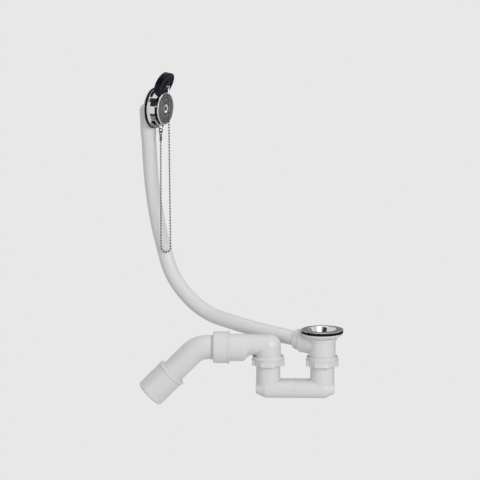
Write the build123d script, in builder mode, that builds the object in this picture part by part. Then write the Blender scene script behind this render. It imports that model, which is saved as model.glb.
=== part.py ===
from build123d import *
import os
from math import asin, cos, degrees, radians, sin, sqrt, tan

# Bath waste and overflow: a chrome waste flange with its plastic body, a swivelling trap with a push-fit
# outlet bend, and an overflow pipe up to a chrome rosette that holds the plug and its ball chain.
# The waste stands on the Z axis and the bath floor is clamped at Z = 0, between its two seals.
# The overflow rosette faces +X. The trap is swung round the waste, away from the overflow pipe.

# Layout
OVERFLOW_REACH = 313.5
OVERFLOW_RISE = 350.0
TRAP_TURN = 26.0
LEG_SPACING = 89.3

# Walls and clearances
TUBE_WALL = 2.4
METAL_SHEET = 1.2
TURN_GAP = 0.4
SLIP_GAP = 0.2
HANG_GAP = 0.1
WEB_WIDTH = 3.0
WEB_COUNT = 3
WEB_START = 30.0
WEB_BITE = 0.8

# Waste flange, a pressed dish with a strainer cross in its floor
FLANGE_RADIUS = 35.0
FLANGE_EDGE = 0.4
FLANGE_CROWN = 0.8
DISH_MOUTH_RADIUS = 22.8
DISH_LIP_RADIUS = 1.6
DISH_FLOOR_RADIUS = 18.0
DISH_DEPTH = 15.0
STRAINER_RIM = 1.4
STRAINER_HUB_RADIUS = 7.5
STRAINER_HUB_DEPTH = 4.6

# Waste seals, above and below the bath floor
UPPER_SEAL = 2.6
LOWER_SEAL = 2.3
SEAL_RADIUS = 34.6
SEAL_BORE = 27.0

# Waste screw and the insert that it pulls up
WASTE_SCREW_RADIUS = 3.0
WASTE_SCREW_HEAD_RADIUS = 6.2
SCREW_SLOT_WIDTH = 1.6
SCREW_SLOT_DEPTH = 1.4
SCREW_SLOT_TURN = 35.0
COUNTERSINK_ANGLE = 82.0
INSERT_RADIUS = 4.8
INSERT_LENGTH = 9.0
INSERT_FLANGE = 1.2
INSERT_FLANGE_RADIUS = 6.2

# Waste body
BODY_FLANGE_RADIUS = 33.6
BODY_FLANGE_THICKNESS = 2.6
BODY_CONE_DEPTH = 7.0
BODY_SHOULDER_RADIUS = 23.6
BODY_SHOULDER_HEIGHT = 3.6
BODY_RADIUS = 22.0
BODY_HUB_RADIUS = 7.6
BODY_HUB_TOP = 36.0

# Overflow port on the side of the waste body
PORT_DROP = 22.7
PORT_RISE_ANGLE = 6.5
PORT_BOSS_RADIUS = 20.2
PORT_BOSS_REACH = 36.9
PORT_BOSS_RIM = 2.4
PORT_BOSS_RIM_STEP = 0.6
PORT_STOP = 23.5
PORT_CHAMBER_RADIUS = 16.2
PORT_CHAMBER_DEPTH = 9.0
PORT_NUT_RADIUS = 16.8
PORT_NUT_LENGTH = 13.1
PORT_NUT_EDGE = 1.6
PORT_NUT_RIB_COUNT = 14
PORT_NUT_RIB_WIDTH = 2.4
PORT_NUT_RIB_HEIGHT = 0.7
CONE_SEAL_LENGTH = 4.0
LATCH_SIZE = 3.0
LATCH_ANGLE = -60.0

# Overflow pipe
PIPE_RADIUS = 12.3
PIPE_WALL = 1.6
PIPE_CUFF_RADIUS = 13.0
PIPE_CUFF_LENGTH = 15.0
PIPE_TOP_RUN = 88.0
PIPE_PORT_RUN = 137.7
PIPE_KNEE_FROM_OVERFLOW = (-8.2, 15.0, -191.6)
PIPE_HEEL_IN = 21.7
PIPE_HEEL_SIDE = 12.0
PIPE_HEEL_RISE = 84.0
PIPE_TOE_IN = 83.9
PIPE_TOE_SIDE = 5.0
PIPE_TOE_RISE = 32.5

# Unions at the two ends of the trap
UNION_DROP = 42.1
NUT_HEIGHT = 15.2
NUT_RING = 5.0
NUT_RING_RADIUS = 26.0
NUT_WALL = 1.6
NUT_LUG_RADIUS = 27.2
NUT_LUG_WIDTH = 24.6
NUT_SHOULDER = 2.5
NUT_EDGE = 0.7
THREAD_RADIUS = 23.0
COLLAR_THICKNESS = 3.0
WASHER_THICKNESS = 2.0

# Trap bend: two legs on a flattened base
LEG_RADIUS = 20.0
BASE_DROP = 96.4
BASE_HALF_HEIGHT = 14.6
BASE_HALF_WIDTH = 21.5
BASE_CORNER = 13.5
BASE_OVERHANG = 0.3
BASE_BEVEL = 7.5
BASE_BEVEL_LENGTH = 16.0
GATE_FLAT = 3.0
PARTING_BEAD = 1.0

# Outlet elbow and its push-fit socket
ELBOW_RADIUS = 17.6
ELBOW_HALF_WIDTH = 21.0
ELBOW_INSET = 0.3
ARM_DROP = 28.5
ARM_RADIUS = 22.5
ARM_WALL = 3.0
REDUCER_START = 31.0
REDUCER_LENGTH = 10.0
SOCKET_START = 63.2
SOCKET_LENGTH = 27.6
SOCKET_RADIUS = 26.2
SOCKET_BEAD = 0.9
SOCKET_BEAD_WIDTH = 4.0
SOCKET_LIP = 4.4
SOCKET_ROUND_LENGTH = 2.2
SOCKET_ROUND_DEPTH = 1.5
MOUTH_GAP = 1.1
MOUTH_FLARE = 1.1
LIP_SEAL_LENGTH = 11.0
LIP_SEAL_DEPTH = 2.6

# Outlet bend
BEND_STANDOFF = 25.8
BEND_RADIUS = 38.0
BEND_ANGLE = 45.0
BEND_COLLAR_START = 59.1
BEND_COLLAR_THICKNESS = 6.0
BEND_COLLAR_RADIUS = 26.0
BEND_COLLAR_EDGE = 1.5
END_SPIGOT_RADIUS = 25.0
END_SPIGOT_LENGTH = 48.2
END_SPIGOT_CHAMFER = 2.0

# Overflow rosette: a flange and drum with a cradle for the plug and a water window below
OVERFLOW_SEAL = 3.4
OVERFLOW_SEAL_RADIUS = 34.4
OVERFLOW_SEAL_BORE = 16.0
ROSETTE_RADIUS = 33.2
ROSETTE_EDGE = 1.0
ROSETTE_CROWN = 1.0
DRUM_RADIUS = 29.0
DRUM_LENGTH = 13.0
DRUM_FOOT = 1.6
ROSETTE_HUB_RADIUS = 5.6
WINDOW_START = 2.0
WINDOW_BAR = 2.1
WINDOW_HALF_ANGLE = 52.0

# Overflow front disc, with plain rings on its face
DISC_RADIUS = 27.1
DISC_STANDOFF = 16.3
DISC_THICKNESS = 2.0
DISC_RIM = 2.0
DISC_RIM_RISE = 0.5
DISC_RING_RADIUS = 14.1
DISC_RING_WIDTH = 1.6
DISC_RING_RISE = 0.4
DISC_CUP_RADIUS = 7.2
DISC_CUP = 2.4
OVERFLOW_SCREW_RADIUS = 2.9
OVERFLOW_SCREW_HEAD_RADIUS = 4.6
OVERFLOW_SCREW_HEAD = 2.0

# Overflow elbow behind the bath wall
ELBOW_RIM_RADIUS = 32.4
ELBOW_RIM_THICKNESS = 3.0
ELBOW_CUP_RADIUS = 26.0
ELBOW_CUP_DEPTH = 3.4
ELBOW_TAIL_BACK = 17.4
ELBOW_TAIL_DROP = 6.0
ELBOW_BACK_RADIUS = 10.0
ELBOW_TAIL_RADIUS = 12.8
ELBOW_TAIL_LENGTH = 27.2
ELBOW_TAIL_LEAN = 6.0
ELBOW_SPIGOT_LENGTH = 16.0
ELBOW_WALL = 2.0
ELBOW_HUB_RADIUS = 6.6
ELBOW_HUB_FRONT = 5.0
ELBOW_INSERT_RADIUS = 4.2
ELBOW_INSERT_LENGTH = 8.0

# Plug, parked in the rosette's cradle with its face forward and down
PLUG_FACE_RADIUS = 22.5
PLUG_BACK_RADIUS = 19.6
PLUG_THICKNESS = 11.2
PLUG_TILT = 23.0
PLUG_FACE_X = 19.3
PLUG_FACE_Z = 38.9
PLUG_EDGE = 1.2
STAPLE_HALF_WIDTH = 2.4
STAPLE_WIRE = 0.8
STAPLE_NECK = 2.2
STAPLE_DEPTH = 7.0

# Ball chain, its hook, ring and couplings
BEAD_RADIUS = 1.6
BEAD_PITCH = 4.9
BEAD_SIDES = 7
LINK_RADIUS = 0.45
LINK_GAP = 0.15
BEAD_WAIST = 1.48
BEAD_BAND = 0.67
HOOK_X = 10.1
HOOK_SIDE = 3.0
HOOK_RADIUS = 4.4
HOOK_EYE_RADIUS = 3.2
HOOK_WIRE = 1.0
HOOK_OPENING = 60.0
HOOK_EYE_OPENING = 40.0
RING_RADIUS = 3.4
RING_WIRE = 0.75
COUPLING_EYE_RADIUS = 1.8
COUPLING_WIRE = 0.55
HOOK_COUPLING_RADIUS = 2.1
HOOK_COUPLING_LENGTH = 7.6
PLUG_COUPLING_RADIUS = 1.3
PLUG_COUPLING_LENGTH = 10.0
CHAIN_LOOP_DROP = 234.0
CHAIN_LOOP_RADIUS = 8.6
CHAIN_LOOP_X = 18.3
CHAIN_LOOP_SIDE = 1.5
CHAIN_LOOP_TWIST = 1.0

os.makedirs("parts", exist_ok=True)


def route_radii(points):
    """Corner radii for a route, each as large as its two runs allow."""
    radii = []
    for before, corner, after in zip(points, points[1:], points[2:]):
        run_in = Vector(corner) - Vector(before)
        run_out = Vector(after) - Vector(corner)
        half_turn = radians(run_in.get_angle(run_out) / 2)
        radii.append(0.45 * min(run_in.length, run_out.length) / tan(half_turn))
    return radii


def flat_ring(plane, outer, inner, thickness):
    """A flat washer that rises from the plane."""
    with BuildPart() as ring:
        with BuildSketch(plane):
            Circle(outer)
            Circle(inner, mode=Mode.SUBTRACT)
        extrude(amount=thickness)
    return ring


# Heights in the waste and the unions, down from the clamped bath floor
flange_crown = UPPER_SEAL + FLANGE_EDGE + FLANGE_CROWN
dish_floor = flange_crown - DISH_DEPTH
dish_under = dish_floor - METAL_SHEET
strainer_hub_under = dish_floor - STRAINER_HUB_DEPTH
body_top = -LOWER_SEAL
shoulder_top = body_top - BODY_FLANGE_THICKNESS - BODY_CONE_DEPTH
shoulder_bottom = shoulder_top - BODY_SHOULDER_HEIGHT
union_top = -UNION_DROP
nut_shoulder_top = union_top - NUT_HEIGHT + NUT_SHOULDER
collar_top = nut_shoulder_top + COLLAR_THICKNESS
tail_end = collar_top + WASHER_THICKNESS
thread_top = union_top - NUT_EDGE
leg_bore = LEG_RADIUS - TUBE_WALL
body_bore = BODY_RADIUS - TUBE_WALL
hub_top = -BODY_HUB_TOP
hub_under = hub_top - INSERT_LENGTH

# Waste flange: a chrome dish with its strainer cross and a hub for the screw
dish_outer = DISH_MOUTH_RADIUS + METAL_SHEET
with BuildPart() as waste_flange:
    with BuildSketch(Plane.XZ):
        with BuildLine():
            floor_line = Line((0, dish_floor), (DISH_FLOOR_RADIUS, dish_floor))
            wall_line = Line(floor_line @ 1, (DISH_MOUTH_RADIUS, flange_crown - DISH_LIP_RADIUS))
            lip_arc = RadiusArc(
                wall_line @ 1,
                (DISH_MOUTH_RADIUS + DISH_LIP_RADIUS, flange_crown),
                DISH_LIP_RADIUS,
            )
            Polyline(
                lip_arc @ 1,
                (FLANGE_RADIUS - FLANGE_EDGE, UPPER_SEAL + FLANGE_EDGE + FLANGE_EDGE / 2),
                (FLANGE_RADIUS, UPPER_SEAL + FLANGE_EDGE),
                (FLANGE_RADIUS, UPPER_SEAL),
                (dish_outer, UPPER_SEAL),
                (DISH_FLOOR_RADIUS + METAL_SHEET, dish_under),
                (0, dish_under),
                floor_line @ 0,
            )
        make_face()
    revolve(axis=Axis.Z)
    with BuildSketch(Plane.XY.offset(strainer_hub_under)):
        Circle(STRAINER_HUB_RADIUS)
    extrude(amount=dish_under - strainer_hub_under)
    with BuildSketch(Plane.XY.offset(dish_under)):
        Circle(DISH_FLOOR_RADIUS - STRAINER_RIM)
        Circle(STRAINER_HUB_RADIUS, mode=Mode.SUBTRACT)
        Rectangle(2 * DISH_FLOOR_RADIUS, WEB_WIDTH, mode=Mode.SUBTRACT)
        Rectangle(WEB_WIDTH, 2 * DISH_FLOOR_RADIUS, mode=Mode.SUBTRACT)
    extrude(amount=METAL_SHEET, mode=Mode.SUBTRACT)
    with Locations((0, 0, dish_floor)):
        CounterSinkHole(
            WASTE_SCREW_RADIUS + SLIP_GAP,
            WASTE_SCREW_HEAD_RADIUS + SLIP_GAP,
            counter_sink_angle=COUNTERSINK_ANGLE,
        )
waste_flange.part.label = "waste_flange"
export_step(waste_flange.part, "parts/waste_flange.step")

# Waste screw: a countersunk screw from the strainer hub down to the insert in the body
screw_end = hub_under - INSERT_FLANGE
head_depth = WASTE_SCREW_HEAD_RADIUS - WASTE_SCREW_RADIUS
head_top = dish_floor - SLIP_GAP
with BuildPart() as waste_screw:
    with BuildSketch(Plane.XZ):
        with BuildLine():
            Polyline(
                (0, head_top),
                (WASTE_SCREW_HEAD_RADIUS, head_top),
                (WASTE_SCREW_RADIUS, head_top - head_depth / tan(radians(COUNTERSINK_ANGLE / 2))),
                (WASTE_SCREW_RADIUS, screw_end),
                (0, screw_end),
                close=True,
            )
        make_face()
    revolve(axis=Axis.Z)
    with BuildSketch(Plane.XY.offset(head_top)):
        Rectangle(2 * WASTE_SCREW_HEAD_RADIUS, SCREW_SLOT_WIDTH)
    extrude(amount=-SCREW_SLOT_DEPTH, mode=Mode.SUBTRACT)
waste_screw.part.label = "waste_screw"
export_step(waste_screw.part, "parts/waste_screw.step")

# Waste seals: rubber rings above and below the bath floor
waste_upper_seal = flat_ring(Plane.XY, SEAL_RADIUS, SEAL_BORE, UPPER_SEAL)
waste_upper_seal.part.label = "waste_upper_seal"
export_step(waste_upper_seal.part, "parts/waste_upper_seal.step")
waste_lower_seal = flat_ring(Plane.XY.offset(body_top), SEAL_RADIUS, SEAL_BORE, LOWER_SEAL)
waste_lower_seal.part.label = "waste_lower_seal"
export_step(waste_lower_seal.part, "parts/waste_lower_seal.step")

# Waste body: a moulded cup with a side port for the overflow pipe and a threaded tail
port_direction = Vector(-cos(radians(PORT_RISE_ANGLE)), 0, sin(radians(PORT_RISE_ANGLE)))
port_plane = Plane(origin=(0, 0, -PORT_DROP), x_dir=(0, -1, 0), z_dir=port_direction)
pipe_bore = PIPE_RADIUS - PIPE_WALL
pipe_socket = PIPE_RADIUS + SLIP_GAP
port_chamber = PORT_BOSS_REACH - PORT_CHAMBER_DEPTH
mouth_radius = SEAL_BORE
mouth_bottom = dish_under - TUBE_WALL
with BuildPart() as waste_body:
    with BuildSketch(Plane.XZ):
        with BuildLine():
            Polyline(
                (0, body_top),
                (BODY_FLANGE_RADIUS, body_top),
                (BODY_FLANGE_RADIUS, body_top - BODY_FLANGE_THICKNESS),
                (BODY_SHOULDER_RADIUS, shoulder_top),
                (BODY_SHOULDER_RADIUS, shoulder_bottom),
                (BODY_RADIUS, shoulder_bottom - NUT_EDGE),
                (BODY_RADIUS, thread_top),
                (THREAD_RADIUS, thread_top),
                (THREAD_RADIUS, tail_end),
                (0, tail_end),
                close=True,
            )
        make_face()
    revolve(axis=Axis.Z)
    with BuildSketch(port_plane):
        Circle(PORT_BOSS_RADIUS - PORT_BOSS_RIM_STEP)
    extrude(amount=PORT_BOSS_REACH)
    with BuildSketch(port_plane.offset(PORT_BOSS_REACH - PORT_BOSS_RIM)):
        Circle(PORT_BOSS_RADIUS)
    extrude(amount=PORT_BOSS_RIM)
    with BuildSketch(port_plane.offset(PORT_BOSS_REACH - PORT_BOSS_RIM - LATCH_SIZE)):
        with PolarLocations(PORT_BOSS_RADIUS - LATCH_SIZE / 2, 1, start_angle=LATCH_ANGLE):
            Rectangle(LATCH_SIZE, LATCH_SIZE)
    extrude(amount=LATCH_SIZE)
    with BuildSketch(Plane.XY.offset(body_top)):
        Circle(2 * BODY_FLANGE_RADIUS)
    extrude(amount=PORT_BOSS_RADIUS, mode=Mode.SUBTRACT)
    with BuildSketch(Plane.XZ):
        with BuildLine():
            Polyline(
                (0, body_top),
                (mouth_radius, body_top),
                (DISH_FLOOR_RADIUS + METAL_SHEET + TUBE_WALL, mouth_bottom),
                (body_bore, mouth_bottom),
                (body_bore, collar_top),
                (leg_bore, tail_end),
                (0, tail_end),
                close=True,
            )
        make_face()
    revolve(axis=Axis.Z, mode=Mode.SUBTRACT)
    with BuildSketch(port_plane):
        Circle(pipe_bore)
    extrude(amount=PORT_BOSS_REACH, mode=Mode.SUBTRACT)
    with BuildSketch(port_plane.offset(PORT_STOP)):
        Circle(pipe_socket)
    extrude(amount=PORT_BOSS_REACH - PORT_STOP, mode=Mode.SUBTRACT)
    with BuildSketch(port_plane.offset(port_chamber)):
        Circle(PORT_CHAMBER_RADIUS)
    extrude(amount=PORT_CHAMBER_DEPTH, mode=Mode.SUBTRACT)
    with BuildSketch(Plane.XY.offset(hub_under)):
        Circle(BODY_HUB_RADIUS)
        with PolarLocations((body_bore + WEB_BITE) / 2, WEB_COUNT, start_angle=WEB_START):
            Rectangle(body_bore + WEB_BITE, WEB_WIDTH)
    extrude(amount=INSERT_LENGTH)
    with BuildSketch(Plane.XY.offset(hub_under)):
        Circle(INSERT_RADIUS)
    extrude(amount=INSERT_LENGTH, mode=Mode.SUBTRACT)
waste_body.part.label = "waste_body"
export_step(waste_body.part, "parts/waste_body.step")

# Brass insert that the waste screw pulls up into the body's hub
with BuildPart() as waste_insert:
    with BuildSketch(Plane.XY.offset(hub_under)):
        Circle(INSERT_RADIUS)
        Circle(WASTE_SCREW_RADIUS, mode=Mode.SUBTRACT)
    extrude(amount=INSERT_LENGTH)
    with BuildSketch(Plane.XY.offset(hub_under)):
        Circle(INSERT_FLANGE_RADIUS)
        Circle(WASTE_SCREW_RADIUS, mode=Mode.SUBTRACT)
    extrude(amount=-INSERT_FLANGE)
waste_insert.part.label = "waste_insert"
export_step(waste_insert.part, "parts/waste_insert.step")

# Port nut and cone seal: the nut screws into the port's boss and clamps the foot of the overflow pipe
cone_seal_back = port_chamber + CONE_SEAL_LENGTH
nut_spigot = PORT_CHAMBER_RADIUS - SLIP_GAP
with BuildPart() as port_nut:
    with BuildSketch(port_plane.offset(PORT_BOSS_REACH)):
        Circle(PORT_NUT_RADIUS)
    extrude(amount=PORT_NUT_LENGTH)
    chamfer(port_nut.faces().sort_by(Axis(port_plane.origin, port_direction))[-1].edges(), PORT_NUT_EDGE)
    with BuildSketch(port_plane.offset(PORT_BOSS_REACH)):
        with PolarLocations(PORT_NUT_RADIUS, PORT_NUT_RIB_COUNT):
            Rectangle(2 * PORT_NUT_RIB_HEIGHT, PORT_NUT_RIB_WIDTH)
    extrude(amount=PORT_NUT_LENGTH - 2 * PORT_NUT_EDGE)
    with BuildSketch(port_plane.offset(cone_seal_back)):
        Circle(nut_spigot)
    extrude(amount=PORT_BOSS_REACH - cone_seal_back)
    with BuildSketch(port_plane.offset(cone_seal_back)):
        Circle(PIPE_RADIUS + TURN_GAP)
    extrude(amount=PORT_BOSS_REACH - cone_seal_back + PORT_NUT_LENGTH, mode=Mode.SUBTRACT)
port_nut.part.label = "port_nut"
export_step(port_nut.part, "parts/port_nut.step")

with BuildPart() as port_cone_seal:
    with BuildSketch(port_plane.offset(port_chamber)):
        Circle(PIPE_RADIUS + TUBE_WALL)
        Circle(pipe_socket, mode=Mode.SUBTRACT)
    with BuildSketch(port_plane.offset(cone_seal_back)):
        Circle(nut_spigot)
        Circle(pipe_socket, mode=Mode.SUBTRACT)
    loft(ruled=True)
port_cone_seal.part.label = "port_cone_seal"
export_step(port_cone_seal.part, "parts/port_cone_seal.step")

# The trap lies in an upright plane through the waste's axis
trap_direction = Vector(-1, 0, 0).rotate(Axis.Z, TRAP_TURN)
trap_side = Vector(0, 0, 1).cross(trap_direction)
trap_plane = Plane(origin=(0, 0, 0), x_dir=trap_direction, z_dir=-trap_side)
inlet_plane = Plane(origin=(0, 0, 0), x_dir=trap_direction, z_dir=(0, 0, 1))
outlet_plane = Plane(origin=trap_direction * LEG_SPACING, x_dir=trap_direction, z_dir=(0, 0, 1))
outlet_axis = Axis(outlet_plane.origin, (0, 0, 1))


def trap_section(distance, height):
    """Plane across the trap at a distance from the waste's axis, at a height."""
    return Plane(
        origin=trap_direction * distance + Vector(0, 0, height),
        x_dir=-trap_side,
        z_dir=trap_direction,
    )


def union_nut(plane):
    """Captive union nut with four broad lugs, its top face on the plane."""
    nut_bore = THREAD_RADIUS + SLIP_GAP
    with BuildPart() as nut:
        with BuildSketch(plane.offset(-NUT_HEIGHT)):
            Circle(nut_bore + NUT_WALL)
        extrude(amount=NUT_HEIGHT)
        with BuildSketch(plane.offset(-NUT_HEIGHT)):
            Rectangle(2 * NUT_LUG_RADIUS, NUT_LUG_WIDTH)
            Rectangle(NUT_LUG_WIDTH, 2 * NUT_LUG_RADIUS)
            Circle(NUT_LUG_RADIUS, mode=Mode.INTERSECT)
        extrude(amount=NUT_HEIGHT - NUT_RING)
        with BuildSketch(plane.offset(-NUT_RING)):
            Circle(NUT_RING_RADIUS)
        extrude(amount=NUT_RING)
        chamfer(nut.faces().sort_by(Axis.Z)[-1].edges(), NUT_EDGE)
        chamfer(nut.faces().sort_by(Axis.Z)[0].edges(), NUT_EDGE)
        with BuildSketch(plane):
            Circle(nut_bore)
        extrude(amount=NUT_SHOULDER - NUT_HEIGHT, mode=Mode.SUBTRACT)
        with BuildSketch(plane):
            Circle(LEG_RADIUS + TURN_GAP)
        extrude(amount=-NUT_HEIGHT, mode=Mode.SUBTRACT)
    return nut


# Inlet union: its nut screws up on the waste's tail and holds the trap's inlet collar on a washer
inlet_union_nut = union_nut(inlet_plane.offset(union_top))
inlet_union_nut.part.label = "inlet_union_nut"
export_step(inlet_union_nut.part, "parts/inlet_union_nut.step")
collar_radius = THREAD_RADIUS - TURN_GAP
inlet_washer = flat_ring(inlet_plane.offset(collar_top), collar_radius, leg_bore, WASHER_THICKNESS)
inlet_washer.part.label = "inlet_washer"
export_step(inlet_washer.part, "parts/inlet_washer.step")

# Trap bend: one hollow moulding with two legs, their collars and a box-shaped base
base_level = -BASE_DROP
base_end = LEG_RADIUS + BASE_OVERHANG
bevel_end = BASE_BEVEL_LENGTH - base_end


def trap_tube(wall):
    """The trap's two legs and the round-cornered base with bevelled ends that joins them, inset by a wall."""
    base_sections = [
        (wall - base_end, BASE_BEVEL + wall),
        (bevel_end, wall),
        (LEG_SPACING - bevel_end, wall),
        (LEG_SPACING + base_end - wall, BASE_BEVEL + wall),
    ]
    with BuildPart() as tube:
        with BuildSketch(inlet_plane.offset(base_level), outlet_plane.offset(base_level)):
            Circle(LEG_RADIUS - wall)
        extrude(amount=collar_top - base_level)
        for distance, inset in base_sections:
            with BuildSketch(trap_section(distance, base_level)):
                RectangleRounded(
                    2 * (BASE_HALF_WIDTH - inset), 2 * (BASE_HALF_HEIGHT - inset), BASE_CORNER - inset
                )
        loft(ruled=True)
    return tube.part


with BuildPart() as trap_bend:
    add(trap_tube(0))
    with BuildSketch(inlet_plane.offset(nut_shoulder_top), outlet_plane.offset(nut_shoulder_top)):
        Circle(collar_radius)
    extrude(amount=COLLAR_THICKNESS)
    with BuildSketch(trap_section(LEG_SPACING / 2, base_level)):
        RectangleRounded(
            2 * (BASE_HALF_WIDTH + PARTING_BEAD),
            2 * (BASE_HALF_HEIGHT + PARTING_BEAD),
            BASE_CORNER + PARTING_BEAD,
        )
        with Locations((0, LEG_RADIUS)):
            Rectangle(3 * LEG_RADIUS, 2 * LEG_RADIUS, mode=Mode.SUBTRACT)
    extrude(amount=PARTING_BEAD, both=True)
    add(trap_tube(TUBE_WALL), mode=Mode.SUBTRACT)
trap_bend.part.label = "trap_bend"
export_step(trap_bend.part, "parts/trap_bend.step")

# Outlet union: the same nut and washer, on the outlet elbow's tail
outlet_union_nut = union_nut(outlet_plane.offset(union_top))
outlet_union_nut.part.label = "outlet_union_nut"
export_step(outlet_union_nut.part, "parts/outlet_union_nut.step")
outlet_washer = flat_ring(outlet_plane.offset(collar_top), collar_radius, leg_bore, WASHER_THICKNESS)
outlet_washer.part.label = "outlet_washer"
export_step(outlet_washer.part, "parts/outlet_washer.step")

# Outlet elbow: a threaded tail, a round corner, an arm that widens with a level top, and a socket
arm_level = -ARM_DROP
elbow_level = arm_level + ARM_RADIUS - ELBOW_RADIUS
elbow_bore = ELBOW_RADIUS - TUBE_WALL
arm_start = ELBOW_RADIUS - ELBOW_INSET
arm_start_bore = elbow_bore - ELBOW_INSET
reducer_start = LEG_SPACING + REDUCER_START
reducer_end = reducer_start + REDUCER_LENGTH
socket_start = LEG_SPACING + SOCKET_START
socket_mouth = socket_start + SOCKET_LENGTH
arm_bore = ARM_RADIUS - ARM_WALL
socket_bore = LEG_RADIUS + TURN_GAP
mouth_bore = LEG_RADIUS + MOUTH_GAP
seal_chamber = LEG_RADIUS + LIP_SEAL_DEPTH + SLIP_GAP
chamber_end = socket_mouth - SOCKET_LIP
chamber_start = chamber_end - LIP_SEAL_LENGTH
arm_axis = Axis((0, 0, arm_level), trap_direction)


def elbow_tail(across, tall):
    """The elbow's upright tail with its domed top, flat at the gate, as a solid of revolution."""
    flat_angle = degrees(asin(GATE_FLAT / across))
    with BuildPart() as tail:
        with BuildSketch(Plane(origin=outlet_plane.origin, x_dir=trap_direction, z_dir=-trap_side)):
            with BuildLine():
                dome = EllipticalCenterArc(
                    (0, elbow_level), across, tall, start_angle=0, arc_size=90 - flat_angle
                )
                dome_top = (0, (dome @ 1).Y)
                Polyline(dome @ 1, dome_top, (0, tail_end), (across, tail_end), dome @ 0)
            make_face()
        revolve(axis=outlet_axis)
    return tail.part


with BuildPart() as outlet_elbow:
    with BuildSketch(outlet_plane.offset(tail_end)):
        Circle(THREAD_RADIUS)
    extrude(amount=thread_top - tail_end)
    add(elbow_tail(ELBOW_HALF_WIDTH, ELBOW_RADIUS))
    with BuildSketch(trap_section(LEG_SPACING, elbow_level)):
        Ellipse(ELBOW_HALF_WIDTH - ELBOW_INSET, arm_start)
    extrude(amount=REDUCER_START)
    with BuildSketch(trap_section(reducer_start, elbow_level)):
        Ellipse(ELBOW_HALF_WIDTH - ELBOW_INSET, arm_start)
    with BuildSketch(trap_section(reducer_end, arm_level)):
        Circle(ARM_RADIUS)
    loft(ruled=True)
    with BuildSketch(trap_plane):
        with BuildLine():
            Polyline(
                (reducer_end, arm_level),
                (reducer_end, arm_level + ARM_RADIUS),
                (socket_start, arm_level + ARM_RADIUS),
                (socket_start + SOCKET_BEAD, arm_level + SOCKET_RADIUS + SOCKET_BEAD),
                (socket_start + SOCKET_BEAD_WIDTH - SOCKET_BEAD, arm_level + SOCKET_RADIUS + SOCKET_BEAD),
                (socket_start + SOCKET_BEAD_WIDTH, arm_level + SOCKET_RADIUS),
                (socket_mouth - SOCKET_ROUND_LENGTH, arm_level + SOCKET_RADIUS),
                (socket_mouth, arm_level + SOCKET_RADIUS - SOCKET_ROUND_DEPTH),
                (socket_mouth, arm_level),
                close=True,
            )
        make_face()
    revolve(axis=arm_axis)
    add(elbow_tail(leg_bore, elbow_bore), mode=Mode.SUBTRACT)
    with BuildSketch(trap_section(LEG_SPACING, elbow_level)):
        Ellipse(leg_bore - ELBOW_INSET, arm_start_bore)
    extrude(amount=REDUCER_START, mode=Mode.SUBTRACT)
    with BuildSketch(trap_section(reducer_start, elbow_level)):
        Ellipse(leg_bore - ELBOW_INSET, arm_start_bore)
    with BuildSketch(trap_section(reducer_end, arm_level)):
        Circle(arm_bore)
    loft(ruled=True, mode=Mode.SUBTRACT)
    with BuildSketch(trap_plane):
        with BuildLine():
            Polyline(
                (reducer_end, arm_level),
                (reducer_end, arm_level + arm_bore),
                (socket_start + SOCKET_BEAD, arm_level + arm_bore),
                (socket_start + SOCKET_BEAD, arm_level + socket_bore),
                (chamber_start, arm_level + socket_bore),
                (chamber_start, arm_level + seal_chamber),
                (chamber_end, arm_level + seal_chamber),
                (chamber_end, arm_level + mouth_bore),
                (socket_mouth, arm_level + mouth_bore + MOUTH_FLARE),
                (socket_mouth, arm_level),
                close=True,
            )
        make_face()
    revolve(axis=arm_axis, mode=Mode.SUBTRACT)
outlet_elbow.part.label = "outlet_elbow"
export_step(outlet_elbow.part, "parts/outlet_elbow.step")

# Lip seal in the socket's chamber
socket_lip_seal = flat_ring(
    trap_section(chamber_start, arm_level), LEG_RADIUS + LIP_SEAL_DEPTH, socket_bore, LIP_SEAL_LENGTH
)
socket_lip_seal.part.label = "socket_lip_seal"
export_step(socket_lip_seal.part, "parts/socket_lip_seal.step")

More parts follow.
